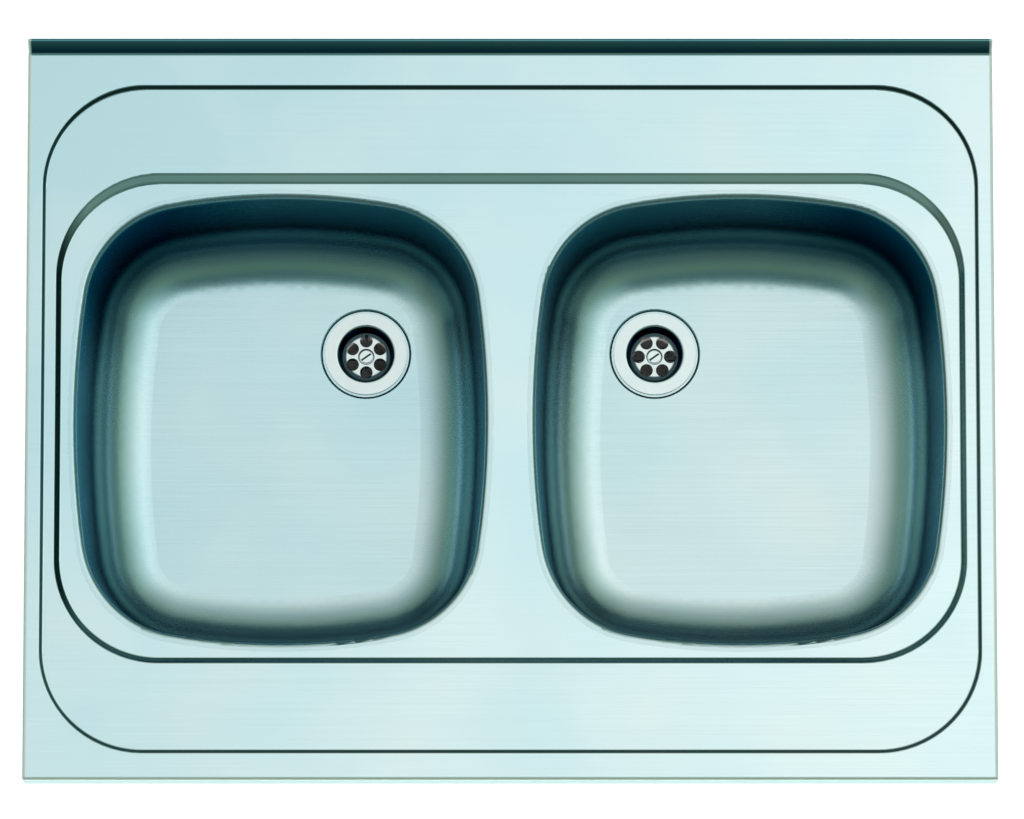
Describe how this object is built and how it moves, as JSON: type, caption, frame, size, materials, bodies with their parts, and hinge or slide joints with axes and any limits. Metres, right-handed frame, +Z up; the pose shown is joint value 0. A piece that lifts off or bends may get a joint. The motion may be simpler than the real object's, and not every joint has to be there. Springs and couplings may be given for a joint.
{
  "type": "double bowl kitchen sink",
  "caption": "Lay-on stainless kitchen sink with two bowls side by side, a rear upstand, strainer wastes and a bottle trap below.",
  "frame": {"origin": "plan centre of the deck between the front edge and the foot of the upstand, level with the cabinet top that the return flanges rest on", "axes": "+X to the right along the front edge, +Y towards the wall, +Z up"},
  "size_m": [0.8, 0.6165, 0.4496],
  "materials": {
    "satin_steel": "satin ground",
    "polished_steel": "polished",
    "sound_pad": "matte",
    "zinc_plate": "zinc plated",
    "white_plastic": "moulded",
    "black_rubber": "matte",
    "brass": "turned"
  },
  "bodies": {
    "sink": {"deck": "satin_steel", "left_bowl": "satin_steel", "right_bowl": "satin_steel", "left_strainer": "polished_steel", "right_strainer": "polished_steel", "left_strainer_screw": "polished_steel", "right_strainer_screw": "polished_steel", "left_sound_pad": "sound_pad", "right_sound_pad": "sound_pad", "front_left_bracket": "zinc_plate", "front_right_bracket": "zinc_plate", "rear_left_bracket": "zinc_plate", "rear_right_bracket": "zinc_plate", "tee": "white_plastic", "left_screw_insert": "brass", "right_screw_insert": "brass", "left_upper_gasket": "black_rubber", "left_lower_gasket": "black_rubber", "left_waste_seal": "black_rubber", "left_tee_seal": "black_rubber", "left_waste_body": "white_plastic", "left_waste_nut": "white_plastic", "left_elbow": "white_plastic", "left_tee_nut": "white_plastic", "right_upper_gasket": "black_rubber", "right_lower_gasket": "black_rubber", "right_waste_seal": "black_rubber", "right_tee_seal": "black_rubber", "right_waste_body": "white_plastic", "right_waste_nut": "white_plastic", "right_elbow": "white_plastic", "right_tee_nut": "white_plastic"},
    "trap": {"trap_body": "white_plastic", "trap_nut": "white_plastic", "trap_seal": "black_rubber", "dip_tube": "white_plastic", "outlet_nut": "white_plastic", "outlet_seal": "black_rubber", "outlet_pipe": "white_plastic"},
    "cup": {"trap_cup": "white_plastic", "cup_seal": "black_rubber"}
  },
  "joints": [
    {"name": "trap_swivel", "type": "hinge", "parent": "sink", "child": "trap", "pos_m": [0, 0.074, -0.2613], "axis": [0, 0, 1], "continuous": true},
    {"name": "cup_unscrew", "type": "slide", "parent": "trap", "child": "cup", "axis": [0, 0, -1], "range_m": [0, 0.06]}
  ]
}
